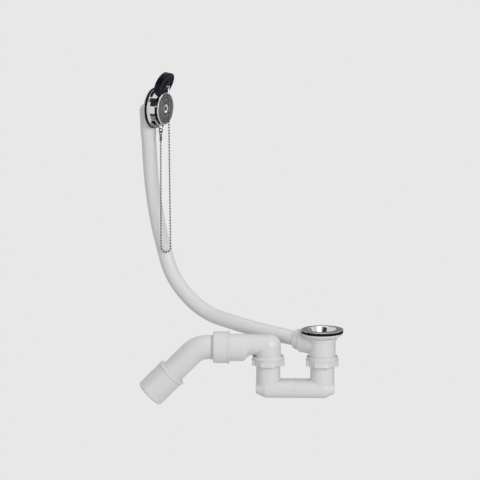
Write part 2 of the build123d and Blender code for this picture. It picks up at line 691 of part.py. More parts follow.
# Outlet bend: a spigot in the socket, a 45 degree bend, a collar and a wider end spigot
spigot_end = socket_start + 2 * SOCKET_BEAD
bend_corner = socket_mouth + BEND_STANDOFF
fall = radians(BEND_ANGLE)
bend_direction = trap_direction * cos(fall) - Vector(0, 0, 1) * sin(fall)
bend_corner_point = trap_direction * bend_corner + Vector(0, 0, arm_level)
collar_plane = Plane(
    origin=bend_corner_point + bend_direction * BEND_COLLAR_START, x_dir=-trap_side, z_dir=bend_direction
)
collar_point = (bend_corner + BEND_COLLAR_START * cos(fall), arm_level - BEND_COLLAR_START * sin(fall))
with BuildPart() as outlet_bend:
    with BuildSketch(collar_plane):
        Circle(BEND_COLLAR_RADIUS)
    extrude(amount=BEND_COLLAR_THICKNESS)
    fillet(outlet_bend.edges().filter_by(GeomType.CIRCLE), BEND_COLLAR_EDGE)
    with BuildLine(trap_plane) as bend_line:
        FilletPolyline((spigot_end, arm_level), (bend_corner, arm_level), collar_point, radius=BEND_RADIUS)
    with BuildSketch(trap_section(spigot_end, arm_level)):
        Circle(LEG_RADIUS)
    sweep(path=bend_line.line)
    with BuildSketch(collar_plane.offset(BEND_COLLAR_THICKNESS)):
        Circle(END_SPIGOT_RADIUS)
    extrude(amount=END_SPIGOT_LENGTH)
    end_rim = outlet_bend.faces().sort_by(Axis(collar_plane.origin, bend_direction))[-1].edges()
    chamfer(end_rim, END_SPIGOT_CHAMFER)
    with BuildSketch(trap_section(spigot_end, arm_level)):
        Circle(leg_bore)
    sweep(path=bend_line.line, mode=Mode.SUBTRACT)
    with BuildSketch(collar_plane):
        Circle(leg_bore)
    extrude(amount=BEND_COLLAR_THICKNESS, mode=Mode.SUBTRACT)
    with BuildSketch(collar_plane.offset(BEND_COLLAR_THICKNESS)):
        Circle(END_SPIGOT_RADIUS - TUBE_WALL)
    extrude(amount=END_SPIGOT_LENGTH, mode=Mode.SUBTRACT)
outlet_bend.part.label = "outlet_bend"
export_step(outlet_bend.part, "parts/outlet_bend.step")

# The overflow's axis runs along +X from the bath wall's inner face
overflow_centre = Vector(-OVERFLOW_REACH, 0, OVERFLOW_RISE)
overflow_plane = Plane(origin=overflow_centre, x_dir=(1, 0, 0), z_dir=(0, -1, 0))
overflow_face = Plane(origin=overflow_centre, x_dir=(0, 1, 0), z_dir=(1, 0, 0))
overflow_axis = Axis(overflow_centre, (1, 0, 0))

# Plug: a tapered rubber stopper with two holes for its staple
tilt = radians(PLUG_TILT)
plug_direction = Vector(cos(tilt), 0, -sin(tilt))
plug_face_point = overflow_centre + Vector(PLUG_FACE_X, 0, PLUG_FACE_Z)
plug_face = Plane(origin=plug_face_point, x_dir=(0, 1, 0), z_dir=plug_direction)
plug_plane = Plane(origin=plug_face_point, x_dir=plug_direction, z_dir=(0, -1, 0))
plug_axis = Axis(plug_face_point, plug_direction)
with BuildPart() as plug:
    with BuildSketch(plug_plane):
        with BuildLine():
            Polyline(
                (-PLUG_THICKNESS, 0),
                (-PLUG_THICKNESS, PLUG_BACK_RADIUS - PLUG_EDGE),
                (PLUG_EDGE - PLUG_THICKNESS, PLUG_BACK_RADIUS),
                (-PLUG_EDGE, PLUG_FACE_RADIUS),
                (0, PLUG_FACE_RADIUS - PLUG_EDGE),
                (0, 0),
                close=True,
            )
        make_face()
    revolve(axis=plug_axis)
    with BuildSketch(plug_face):
        with Locations((-STAPLE_HALF_WIDTH, 0), (STAPLE_HALF_WIDTH, 0)):
            Circle(STAPLE_WIRE + HANG_GAP)
    extrude(amount=-STAPLE_DEPTH - HANG_GAP, mode=Mode.SUBTRACT)
plug.part.label = "plug"
export_step(plug.part, "parts/plug.step")

# Plug staple: a wire arch set in the plug's face
staple_plane = Plane(origin=plug_face_point, x_dir=(0, 1, 0), z_dir=plug_direction.cross(Vector(0, -1, 0)))
with BuildPart() as plug_staple:
    with BuildLine(staple_plane) as staple_line:
        leg_in = Line((-STAPLE_HALF_WIDTH, -STAPLE_DEPTH), (-STAPLE_HALF_WIDTH, STAPLE_NECK))
        arch = ThreePointArc(
            leg_in @ 1, (0, STAPLE_NECK + STAPLE_HALF_WIDTH), (STAPLE_HALF_WIDTH, STAPLE_NECK)
        )
        Line(arch @ 1, (STAPLE_HALF_WIDTH, -STAPLE_DEPTH))
    with BuildSketch(Plane(origin=leg_in @ 0, z_dir=leg_in % 0)):
        Circle(STAPLE_WIRE)
    sweep(path=staple_line.line)
plug_staple.part.label = "plug_staple"
export_step(plug_staple.part, "parts/plug_staple.step")


def plug_envelope(grow, front):
    """Profile of the plug's taper, grown all round and carried forward to a front face."""
    taper = (PLUG_FACE_RADIUS - PLUG_BACK_RADIUS) / (PLUG_THICKNESS - 2 * PLUG_EDGE)
    with BuildSketch(plug_plane) as profile:
        with BuildLine():
            Polyline(
                (-PLUG_THICKNESS - grow, 0),
                (-PLUG_THICKNESS - grow, PLUG_BACK_RADIUS - taper * PLUG_EDGE + grow),
                (-PLUG_EDGE, PLUG_FACE_RADIUS + grow),
                (front, PLUG_FACE_RADIUS + grow),
                (front, 0),
                close=True,
            )
        make_face()
    return profile.sketch


# Cradle sheet under the parked plug, cut to the drum
cradle_gap = TURN_GAP
with BuildPart() as cradle:
    revolve(plug_envelope(cradle_gap + METAL_SHEET, 0), axis=plug_axis)
    revolve(plug_envelope(cradle_gap, cradle_gap), axis=plug_axis, mode=Mode.SUBTRACT)
    with BuildSketch(overflow_face):
        Circle(DRUM_RADIUS)
    extrude(amount=DRUM_LENGTH, mode=Mode.INTERSECT)

# Overflow rosette: flange, drum, cradle and a spider with a hub for the screw
drum_bore = DRUM_RADIUS - METAL_SHEET
hub_front = DISC_STANDOFF - DISC_CUP
window_end = DRUM_LENGTH - WINDOW_BAR
window_spread = radians(WINDOW_HALF_ANGLE)
with BuildPart() as overflow_rosette:
    with BuildSketch(overflow_plane):
        with BuildLine():
            Polyline(
                (0, drum_bore),
                (0, ROSETTE_RADIUS),
                (ROSETTE_EDGE, ROSETTE_RADIUS),
                (ROSETTE_EDGE + ROSETTE_CROWN, DRUM_RADIUS + DRUM_FOOT),
                (ROSETTE_EDGE + ROSETTE_CROWN + DRUM_FOOT, DRUM_RADIUS),
                (DRUM_LENGTH, DRUM_RADIUS),
                (DRUM_LENGTH, drum_bore),
                close=True,
            )
        make_face()
    revolve(axis=overflow_axis)
    with BuildSketch(overflow_face.offset(WINDOW_START)):
        with BuildLine():
            Polyline(
                (0, 0),
                (-2 * DRUM_RADIUS * sin(window_spread), -2 * DRUM_RADIUS * cos(window_spread)),
                (2 * DRUM_RADIUS * sin(window_spread), -2 * DRUM_RADIUS * cos(window_spread)),
                close=True,
            )
        make_face()
    extrude(amount=window_end - WINDOW_START, mode=Mode.SUBTRACT)
    revolve(plug_envelope(cradle_gap, PLUG_THICKNESS), axis=plug_axis, mode=Mode.SUBTRACT)
    add(cradle.part)
    with BuildSketch(overflow_face):
        Circle(ROSETTE_HUB_RADIUS)
        with PolarLocations((drum_bore + WEB_BITE) / 2, WEB_COUNT, start_angle=WEB_START):
            Rectangle(drum_bore + WEB_BITE, WEB_WIDTH)
    extrude(amount=ROSETTE_EDGE + ROSETTE_CROWN)
    with BuildSketch(overflow_face):
        Circle(ROSETTE_HUB_RADIUS)
    extrude(amount=hub_front)
    with BuildSketch(overflow_face):
        Circle(OVERFLOW_SCREW_RADIUS + SLIP_GAP)
    extrude(amount=hub_front, mode=Mode.SUBTRACT)
overflow_rosette.part.label = "overflow_rosette"
export_step(overflow_rosette.part, "parts/overflow_rosette.step")

# Overflow front disc: a bevelled rim, a plain ring and a cup for the screw's head
disc_face = DISC_STANDOFF + DISC_THICKNESS
rim_face = disc_face + DISC_RIM_RISE
ring_face = disc_face + DISC_RING_RISE
screw_seat = hub_front + METAL_SHEET
cup_floor = OVERFLOW_SCREW_HEAD_RADIUS + 2 * SLIP_GAP
with BuildPart() as overflow_front_disc:
    with BuildSketch(overflow_plane):
        with BuildLine():
            Polyline(
                (hub_front, OVERFLOW_SCREW_RADIUS + SLIP_GAP),
                (hub_front, cup_floor + METAL_SHEET),
                (DISC_STANDOFF, DISC_CUP_RADIUS + METAL_SHEET),
                (DISC_STANDOFF, DISC_RADIUS - DISC_RIM_RISE),
                (DISC_STANDOFF + DISC_RIM_RISE, DISC_RADIUS),
                (DISC_STANDOFF + DISC_THICKNESS / 2, DISC_RADIUS),
                (rim_face, DISC_RADIUS - DISC_RIM),
                (disc_face, DISC_RADIUS - DISC_RIM - DISC_RIM_RISE),
                (disc_face, DISC_RING_RADIUS + DISC_RING_WIDTH / 2 + DISC_RING_RISE),
                (ring_face, DISC_RING_RADIUS + DISC_RING_WIDTH / 2),
                (ring_face, DISC_RING_RADIUS - DISC_RING_WIDTH / 2),
                (disc_face, DISC_RING_RADIUS - DISC_RING_WIDTH / 2 - DISC_RING_RISE),
                (disc_face, DISC_CUP_RADIUS),
                (screw_seat, cup_floor),
                (screw_seat, OVERFLOW_SCREW_RADIUS + SLIP_GAP),
                close=True,
            )
        make_face()
    revolve(axis=overflow_axis)
overflow_front_disc.part.label = "overflow_front_disc"
export_step(overflow_front_disc.part, "parts/overflow_front_disc.step")

# Overflow screw: from the disc's cup back to the insert in the elbow
elbow_front = -OVERFLOW_SEAL
elbow_hub_front = -ELBOW_HUB_FRONT
elbow_insert_front = elbow_hub_front - METAL_SHEET
elbow_insert_back = elbow_insert_front - ELBOW_INSERT_LENGTH
with BuildPart() as overflow_screw:
    with BuildSketch(overflow_plane):
        with BuildLine():
            Polyline(
                (elbow_insert_back, 0),
                (elbow_insert_back, OVERFLOW_SCREW_RADIUS),
                (screw_seat, OVERFLOW_SCREW_RADIUS),
                (screw_seat, OVERFLOW_SCREW_HEAD_RADIUS),
                (screw_seat + OVERFLOW_SCREW_HEAD / 2, OVERFLOW_SCREW_HEAD_RADIUS),
                (screw_seat + OVERFLOW_SCREW_HEAD, OVERFLOW_SCREW_HEAD_RADIUS - OVERFLOW_SCREW_HEAD / 2),
                (screw_seat + OVERFLOW_SCREW_HEAD, 0),
                close=True,
            )
        make_face()
    revolve(axis=overflow_axis)
    with BuildSketch(overflow_face.offset(screw_seat + OVERFLOW_SCREW_HEAD)):
        Rectangle(2 * OVERFLOW_SCREW_HEAD_RADIUS, SCREW_SLOT_WIDTH, rotation=SCREW_SLOT_TURN)
    extrude(amount=-SCREW_SLOT_DEPTH, mode=Mode.SUBTRACT)
overflow_screw.part.label = "overflow_screw"
export_step(overflow_screw.part, "parts/overflow_screw.step")

# Overflow seal between the bath wall and the elbow
overflow_seal = flat_ring(
    overflow_face.offset(elbow_front), OVERFLOW_SEAL_RADIUS, OVERFLOW_SEAL_BORE, OVERFLOW_SEAL
)
overflow_seal.part.label = "overflow_seal"
export_step(overflow_seal.part, "parts/overflow_seal.step")

# Overflow elbow: a rimmed cup with a hub for the insert, and a tail that takes the pipe
lean = radians(ELBOW_TAIL_LEAN)
tail_direction = Vector(0, sin(lean), -cos(lean))
tail_corner = overflow_centre - Vector(ELBOW_TAIL_BACK, 0, ELBOW_TAIL_DROP)
tail_plane = Plane(origin=tail_corner, x_dir=(1, 0, 0), z_dir=tail_direction)
rim_back = elbow_front - ELBOW_RIM_THICKNESS
cup_back = rim_back - ELBOW_CUP_DEPTH
elbow_spigot = pipe_bore - SLIP_GAP
spigot_bore = elbow_spigot - ELBOW_WALL
cup_bore = ELBOW_CUP_RADIUS - ELBOW_WALL
tail_bore = ELBOW_TAIL_RADIUS - ELBOW_WALL
with BuildPart() as overflow_elbow:
    with BuildSketch(overflow_plane):
        with BuildLine():
            Polyline(
                (elbow_front, 0),
                (elbow_front, ELBOW_RIM_RADIUS),
                (rim_back, ELBOW_RIM_RADIUS),
                (rim_back, ELBOW_CUP_RADIUS),
                (cup_back, ELBOW_CUP_RADIUS),
                (-ELBOW_TAIL_BACK, ELBOW_BACK_RADIUS),
                (-ELBOW_TAIL_BACK, 0),
                close=True,
            )
        make_face()
    revolve(axis=overflow_axis)
    with Locations(tail_corner):
        Sphere(ELBOW_TAIL_RADIUS)
    with BuildSketch(tail_plane):
        Circle(ELBOW_TAIL_RADIUS)
    extrude(amount=ELBOW_TAIL_LENGTH)
    with BuildSketch(tail_plane.offset(ELBOW_TAIL_LENGTH)):
        Circle(elbow_spigot)
    extrude(amount=ELBOW_SPIGOT_LENGTH)
    with BuildSketch(overflow_plane):
        with BuildLine():
            Polyline(
                (elbow_front, 0),
                (elbow_front, cup_bore),
                (cup_back, cup_bore),
                (-ELBOW_TAIL_BACK, ELBOW_BACK_RADIUS - ELBOW_WALL),
                (-ELBOW_TAIL_BACK, 0),
                close=True,
            )
        make_face()
    revolve(axis=overflow_axis, mode=Mode.SUBTRACT)
    with Locations(tail_corner):
        Sphere(tail_bore, mode=Mode.SUBTRACT)
    with BuildSketch(tail_plane):
        Circle(spigot_bore)
    extrude(amount=ELBOW_TAIL_LENGTH + ELBOW_SPIGOT_LENGTH, mode=Mode.SUBTRACT)
    with BuildSketch(overflow_face.offset(elbow_insert_back)):
        Circle(ELBOW_HUB_RADIUS)
    extrude(amount=elbow_hub_front - elbow_insert_back)
    with BuildSketch(overflow_face.offset(cup_back)):
        with PolarLocations((cup_bore + WEB_BITE) / 2, WEB_COUNT, start_angle=WEB_START):
            Rectangle(cup_bore + WEB_BITE, WEB_WIDTH)
    extrude(amount=elbow_hub_front - cup_back)
    with BuildSketch(overflow_face.offset(elbow_insert_back)):
        Circle(ELBOW_INSERT_RADIUS)
    extrude(amount=ELBOW_INSERT_LENGTH, mode=Mode.SUBTRACT)
    with BuildSketch(overflow_face.offset(elbow_insert_front)):
        Circle(OVERFLOW_SCREW_RADIUS + SLIP_GAP)
    extrude(amount=METAL_SHEET, mode=Mode.SUBTRACT)
overflow_elbow.part.label = "overflow_elbow"
export_step(overflow_elbow.part, "parts/overflow_elbow.step")

# Brass insert in the elbow's hub
overflow_insert = flat_ring(
    overflow_face.offset(elbow_insert_back), ELBOW_INSERT_RADIUS, OVERFLOW_SCREW_RADIUS, ELBOW_INSERT_LENGTH
)
overflow_insert.part.label = "overflow_insert"
export_step(overflow_insert.part, "parts/overflow_insert.step")

# Overflow pipe: one bent tube with a cuff at its top, from the elbow's tail to the stop in the port
pipe_top = tail_corner + tail_direction * ELBOW_TAIL_LENGTH
pipe_route = [
    pipe_top,
    pipe_top + tail_direction * PIPE_TOP_RUN,
    overflow_centre + Vector(*PIPE_KNEE_FROM_OVERFLOW),
    Vector(PIPE_HEEL_IN - OVERFLOW_REACH, PIPE_HEEL_SIDE, PIPE_HEEL_RISE - PORT_DROP),
    Vector(PIPE_TOE_IN - OVERFLOW_REACH, PIPE_TOE_SIDE, PIPE_TOE_RISE - PORT_DROP),
    port_plane.origin + port_direction * PIPE_PORT_RUN,
    port_plane.origin + port_direction * PORT_STOP,
]
pipe_radii = route_radii(pipe_route)
print("overflow pipe bend radii", [round(radius, 1) for radius in pipe_radii])
with BuildPart() as overflow_pipe:
    with BuildLine() as pipe_line:
        FilletPolyline(*pipe_route, radius=pipe_radii)
    with BuildSketch(tail_plane.offset(ELBOW_TAIL_LENGTH)):
        Circle(PIPE_RADIUS)
    sweep(path=pipe_line.line)
    with BuildSketch(tail_plane.offset(ELBOW_TAIL_LENGTH)):
        Circle(PIPE_CUFF_RADIUS)
    extrude(amount=PIPE_CUFF_LENGTH)
    with BuildSketch(tail_plane.offset(ELBOW_TAIL_LENGTH)):
        Circle(pipe_bore)
    sweep(path=pipe_line.line, mode=Mode.SUBTRACT)
print("overflow pipe length", round(pipe_line.wire().length, 1))
overflow_pipe.part.label = "overflow_pipe"
export_step(overflow_pipe.part, "parts/overflow_pipe.step")

# Chain hook: an S of wire, hung on the bar in front of the drum's window
bar_corner_reach = HOOK_RADIUS - HOOK_WIRE - HANG_GAP
bar_corner_x = DRUM_LENGTH - HOOK_X
hook_drop = drum_bore + sqrt(bar_corner_reach**2 - bar_corner_x**2)
hook_centre = overflow_centre + Vector(HOOK_X, -HOOK_SIDE, -hook_drop)
hook_plane = Plane(origin=hook_centre, x_dir=(1, 0, 0), z_dir=(0, -1, 0))
eye_drop = HOOK_RADIUS + HOOK_EYE_RADIUS
with BuildPart() as chain_hook:
    with BuildLine(hook_plane) as hook_line:
        hook_arc = CenterArc((0, 0), HOOK_RADIUS, HOOK_OPENING - 90, 360 - HOOK_OPENING)
        CenterArc((0, -eye_drop), HOOK_EYE_RADIUS, 90, HOOK_EYE_OPENING - 360)
    with BuildSketch(Plane(origin=hook_arc @ 0, z_dir=hook_arc % 0)):
        Circle(HOOK_WIRE)
    sweep(path=hook_line.line)
chain_hook.part.label = "chain_hook"
export_step(chain_hook.part, "parts/chain_hook.step")

# Chain ring: a closed wire ring across the hook's eye
ring_top = hook_centre - Vector(0, 0, eye_drop + HOOK_EYE_RADIUS - HOOK_WIRE - RING_WIRE - HANG_GAP)
ring_centre = ring_top - Vector(0, 0, RING_RADIUS)
with BuildPart() as chain_ring:
    with Locations(ring_centre):
        Torus(RING_RADIUS, RING_WIRE, rotation=(0, 90, 0))
chain_ring.part.label = "chain_ring"
export_step(chain_ring.part, "parts/chain_ring.step")


def chain_coupling(hanger, hanger_wire, barrel_radius, barrel_length):
    """Barrel coupling with a wire eye that hangs on a wire at the hanger point."""
    eye_centre = hanger + Vector(0, 0, hanger_wire + COUPLING_WIRE + HANG_GAP - COUPLING_EYE_RADIUS)
    barrel_top = eye_centre - Vector(0, 0, COUPLING_EYE_RADIUS)
    with BuildPart() as coupling:
        with BuildSketch(Plane(origin=barrel_top, z_dir=(0, 0, -1))):
            Circle(barrel_radius)
        extrude(amount=barrel_length)
        chamfer(coupling.edges().filter_by(GeomType.CIRCLE), COUPLING_WIRE)
        with Locations(eye_centre):
            Torus(COUPLING_EYE_RADIUS, COUPLING_WIRE, rotation=(90, 0, 0))
    return coupling, barrel_top - Vector(0, 0, barrel_length)


# Couplings at the two ends of the chain
ring_bottom = ring_centre - Vector(0, 0, RING_RADIUS)
hook_coupling, chain_start = chain_coupling(
    ring_bottom, RING_WIRE, HOOK_COUPLING_RADIUS, HOOK_COUPLING_LENGTH
)
hook_coupling.part.label = "hook_coupling"
export_step(hook_coupling.part, "parts/hook_coupling.step")
staple_top = plug_face_point + plug_direction * (STAPLE_NECK + STAPLE_HALF_WIDTH)
plug_coupling, chain_end = chain_coupling(
    staple_top, STAPLE_WIRE, PLUG_COUPLING_RADIUS, PLUG_COUPLING_LENGTH
)
plug_coupling.part.label = "plug_coupling"
export_step(plug_coupling.part, "parts/plug_coupling.step")

# Ball chain: beads on short links, hanging in one loop from the hook to the plug
loop_centre = overflow_centre + Vector(CHAIN_LOOP_X, -CHAIN_LOOP_SIDE, -CHAIN_LOOP_DROP)
corner_fall = CHAIN_LOOP_RADIUS * tan(radians(30))
chain_route = [
    chain_start,
    loop_centre + Vector(-CHAIN_LOOP_RADIUS, -CHAIN_LOOP_TWIST, -corner_fall),
    loop_centre + Vector(0, 0, -2 * corner_fall),
    loop_centre + Vector(CHAIN_LOOP_RADIUS, CHAIN_LOOP_TWIST, -corner_fall),
    chain_end,
]
chain_radii = route_radii(chain_route)
print("ball chain bend radii", [round(radius, 1) for radius in chain_radii])
link_half = BEAD_PITCH / 2 - LINK_GAP / 2
bead_sections = [
    (-link_half, LINK_RADIUS),
    (-BEAD_WAIST, LINK_RADIUS),
    (-BEAD_BAND, BEAD_RADIUS),
    (BEAD_BAND, BEAD_RADIUS),
    (BEAD_WAIST, LINK_RADIUS),
    (link_half, LINK_RADIUS),
]
with BuildPart() as bead:
    for height, radius in bead_sections:
        with BuildSketch(Plane.XY.offset(height)):
            RegularPolygon(radius, BEAD_SIDES)
    loft(ruled=True)
with BuildLine() as chain_line:
    FilletPolyline(*chain_route, radius=chain_radii)
chain_wire = chain_line.wire()
chain_length = chain_wire.length
bead_count = int(chain_length / BEAD_PITCH)
bead_step = chain_length / bead_count
print("ball chain length", round(chain_length, 1), "beads", bead_count)
bead_places = [
    chain_wire.location_at((index + 0.5) * bead_step, position_mode=PositionMode.LENGTH)
    for index in range(bead_count)
]
with BuildPart() as ball_chain:
    with Locations(*bead_places):
        add(bead.part)
ball_chain.part.label = "ball_chain"
export_step(ball_chain.part, "parts/ball_chain.step")
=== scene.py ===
import bmesh
import bpy
from math import asin, cos, pi, radians, sin
from mathutils import Matrix, Vector


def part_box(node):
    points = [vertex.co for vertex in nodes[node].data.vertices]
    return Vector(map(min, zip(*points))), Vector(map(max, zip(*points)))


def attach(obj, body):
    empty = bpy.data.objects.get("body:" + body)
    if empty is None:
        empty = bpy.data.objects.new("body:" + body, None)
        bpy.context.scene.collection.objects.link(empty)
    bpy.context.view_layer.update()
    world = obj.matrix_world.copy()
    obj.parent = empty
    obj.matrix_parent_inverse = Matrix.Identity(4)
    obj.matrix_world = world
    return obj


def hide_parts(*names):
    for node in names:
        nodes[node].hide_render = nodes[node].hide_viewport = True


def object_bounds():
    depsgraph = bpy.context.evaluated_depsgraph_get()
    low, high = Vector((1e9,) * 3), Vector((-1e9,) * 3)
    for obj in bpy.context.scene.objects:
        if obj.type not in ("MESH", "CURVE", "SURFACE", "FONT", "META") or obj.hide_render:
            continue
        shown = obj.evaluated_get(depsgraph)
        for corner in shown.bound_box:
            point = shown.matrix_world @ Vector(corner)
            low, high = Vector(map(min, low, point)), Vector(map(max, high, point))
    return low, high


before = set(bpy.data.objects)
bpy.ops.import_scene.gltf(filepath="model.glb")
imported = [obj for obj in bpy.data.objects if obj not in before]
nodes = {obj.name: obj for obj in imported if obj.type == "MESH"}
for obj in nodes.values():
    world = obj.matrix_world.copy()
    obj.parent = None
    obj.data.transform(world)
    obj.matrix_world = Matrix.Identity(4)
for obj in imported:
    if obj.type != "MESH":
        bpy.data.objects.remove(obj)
cad_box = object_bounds()

# Waste flange: the dish that shows in the bath's floor, with a strainer cross in its bottom.
# It is pressed from sheet brass and chrome plated. The screw through its hub pulls it down on the upper seal.
CHROME_BRIGHT = (0.80, 0.80, 0.81, 1)
CHROME_DULL = (0.70, 0.71, 0.72, 1)
CLOUD_DETAIL = 4
SMEAR_DETAIL = 6
SMEAR_FINENESS = 3.7
SMEAR_LOW = 0.3
SMEAR_HIGH = 0.7
HAIRLINE_DETAIL = 3
HAIRLINE_STRENGTH = 0.15


def new_group(name, inputs, outputs):
    """An empty shader node group with named sockets, and its two end nodes."""
    tree = bpy.data.node_groups.new(name, "ShaderNodeTree")
    for socket, kind, value in inputs:
        tree.interface.new_socket(socket, in_out="INPUT", socket_type=kind).default_value = value
    for socket, kind in outputs:
        tree.interface.new_socket(socket, in_out="OUTPUT", socket_type=kind)
    return tree, tree.nodes.new("NodeGroupInput"), tree.nodes.new("NodeGroupOutput")


def noise_in(tree, vector, detail):
    """A noise texture that reads the given vector."""
    noise = tree.nodes.new("ShaderNodeTexNoise")
    noise.inputs["Detail"].default_value = detail
    tree.links.new(vector, noise.inputs["Vector"])
    return noise


def clouding_group():
    """Soft clouds over a surface: two tints that drift into each other, and a roughness that drifts too."""
    tree, given, made = new_group(
        "clouding",
        [
            ("First Tint", "NodeSocketColor", (0.8, 0.8, 0.8, 1)),
            ("Second Tint", "NodeSocketColor", (0.7, 0.7, 0.7, 1)),
            ("Cloud Scale", "NodeSocketFloat", 40.0),
            ("Least Roughness", "NodeSocketFloat", 0.1),
            ("Most Roughness", "NodeSocketFloat", 0.2),
        ],
        [("Color", "NodeSocketColor"), ("Roughness", "NodeSocketFloat")],
    )
    place = tree.nodes.new("ShaderNodeTexCoord").outputs["Object"]
    clouds = noise_in(tree, place, CLOUD_DETAIL)
    tree.links.new(given.outputs["Cloud Scale"], clouds.inputs["Scale"])
    tints = tree.nodes.new("ShaderNodeMix")
    tints.data_type = "RGBA"
    tree.links.new(clouds.outputs["Fac"], tints.inputs["Factor"])
    tree.links.new(given.outputs["First Tint"], tints.inputs["A"])
    tree.links.new(given.outputs["Second Tint"], tints.inputs["B"])
    tree.links.new(tints.outputs["Result"], made.inputs["Color"])
    finer = tree.nodes.new("ShaderNodeMath")
    finer.operation = "MULTIPLY"
    finer.inputs[1].default_value = SMEAR_FINENESS
    tree.links.new(given.outputs["Cloud Scale"], finer.inputs[0])
    smears = noise_in(tree, place, SMEAR_DETAIL)
    tree.links.new(finer.outputs[0], smears.inputs["Scale"])
    spread = tree.nodes.new("ShaderNodeMapRange")
    spread.inputs["From Min"].default_value = SMEAR_LOW
    spread.inputs["From Max"].default_value = SMEAR_HIGH
    tree.links.new(smears.outputs["Fac"], spread.inputs["Value"])
    tree.links.new(given.outputs["Least Roughness"], spread.inputs["To Min"])
    tree.links.new(given.outputs["Most Roughness"], spread.inputs["To Max"])
    tree.links.new(spread.outputs["Result"], made.inputs["Roughness"])
    return tree


def hairline_group():
    """Fine wiping marks in polished metal, stretched along one direction."""
    tree, given, made = new_group(
        "hairlines",
        [("Stretch", "NodeSocketVector", (900.0, 60.0, 60.0))],
        [("Height", "NodeSocketFloat")],
    )
    place = tree.nodes.new("ShaderNodeTexCoord").outputs["Object"]
    stretch = tree.nodes.new("ShaderNodeVectorMath")
    stretch.operation = "MULTIPLY"
    tree.links.new(place, stretch.inputs[0])
    tree.links.new(given.outputs["Stretch"], stretch.inputs[1])
    marks = noise_in(tree, stretch.outputs["Vector"], HAIRLINE_DETAIL)
    marks.inputs["Scale"].default_value = 1.0
    tree.links.new(marks.outputs["Fac"], made.inputs["Height"])
    return tree


clouding = clouding_group()
hairlines = hairline_group()


def clouded_material(name, first, second, cloud_scale, smoothest, roughest):
    """A material whose colour and roughness come from the clouding group, and its shader."""
    material = bpy.data.materials.new(name)
    material.use_nodes = True
    tree = material.node_tree
    shader = tree.nodes["Principled BSDF"]
    clouds = tree.nodes.new("ShaderNodeGroup")
    clouds.node_tree = clouding
    clouds.inputs["First Tint"].default_value = first
    clouds.inputs["Second Tint"].default_value = second
    clouds.inputs["Cloud Scale"].default_value = cloud_scale
    clouds.inputs["Least Roughness"].default_value = smoothest
    clouds.inputs["Most Roughness"].default_value = roughest
    tree.links.new(clouds.outputs["Color"], shader.inputs["Base Color"])
    tree.links.new(clouds.outputs["Roughness"], shader.inputs["Roughness"])
    return material, shader


def relief(material, shader, group, strength, distance, **values):
    """Raises the surface by the height that a group gives."""
    tree = material.node_tree
    source = tree.nodes.new("ShaderNodeGroup")
    source.node_tree = group
    for socket, value in values.items():
        source.inputs[socket.replace("_", " ").title()].default_value = value
    bump = tree.nodes.new("ShaderNodeBump")
    bump.inputs["Strength"].default_value = strength
    bump.inputs["Distance"].default_value = distance
    tree.links.new(source.outputs["Height"], bump.inputs["Height"])
    tree.links.new(bump.outputs["Normal"], shader.inputs["Normal"])


def metal(name, bright, dull, cloud_scale, smoothest, roughest, stretch, depth):
    """A metal finish with drifting polish and fine hairlines."""
    material, shader = clouded_material(name, bright, dull, cloud_scale, smoothest, roughest)
    shader.inputs["Metallic"].default_value = 1.0
    relief(material, shader, hairlines, HAIRLINE_STRENGTH, depth, stretch=stretch)
    return material


def dress(material, *names):
    """Gives CAD nodes a finish."""
    for name in names:
        nodes[name].data.materials.clear()
        nodes[name].data.materials.append(material)


chrome = metal(
    "chrome",
    CHROME_BRIGHT,
    CHROME_DULL,
    cloud_scale=35,
    smoothest=0.04,
    roughest=0.10,
    stretch=(700, 90, 90),
    depth=0.00002,
)
dress(chrome, "waste_flange")

# Waste screw: a slotted countersunk screw in the middle of the dish, turned from stainless steel.
# Its brass insert sits in the hub of the plastic body and is pulled up as the screw is tightened.
STEEL_BRIGHT = (0.62, 0.62, 0.61, 1)
STEEL_DULL = (0.50, 0.50, 0.50, 1)
BRASS_BRIGHT = (0.72, 0.56, 0.28, 1)
BRASS_DULL = (0.60, 0.44, 0.20, 1)
steel = metal(
    "steel",
    STEEL_BRIGHT,
    STEEL_DULL,
    cloud_scale=60,
    smoothest=0.16,
    roughest=0.28,
    stretch=(300, 300, 1500),
    depth=0.00003,
)
brass = metal(
    "brass",
    BRASS_BRIGHT,
    BRASS_DULL,
    cloud_scale=80,
    smoothest=0.22,
    roughest=0.36,
    stretch=(200, 200, 1800),
    depth=0.00004,
)
dress(steel, "waste_screw")
dress(brass, "waste_insert")

# Waste seals: two black rubber rings, above and below the bath's floor, and flat washers in the unions.
# They are moulded with rounded edges, so a fine groove shows where the two rings meet.
MM = 0.001
FIXED_BODY = "waste_and_overflow"
SEAL_TINT = (0.003, 0.003, 0.003, 1)
SEAL_BLOOM = (0.006, 0.006, 0.006, 1)
SEAL_BORE = 27.0 * MM
SEAL_EDGE = 0.5 * MM
SPIN_STEPS = 96
MERGE_DISTANCE = 0.0001 * MM
EDGE_SEGMENTS = 3
KEEN_ANGLE = radians(25)
GRAIN_DETAIL = 2
GRAIN_STRENGTH = 0.25


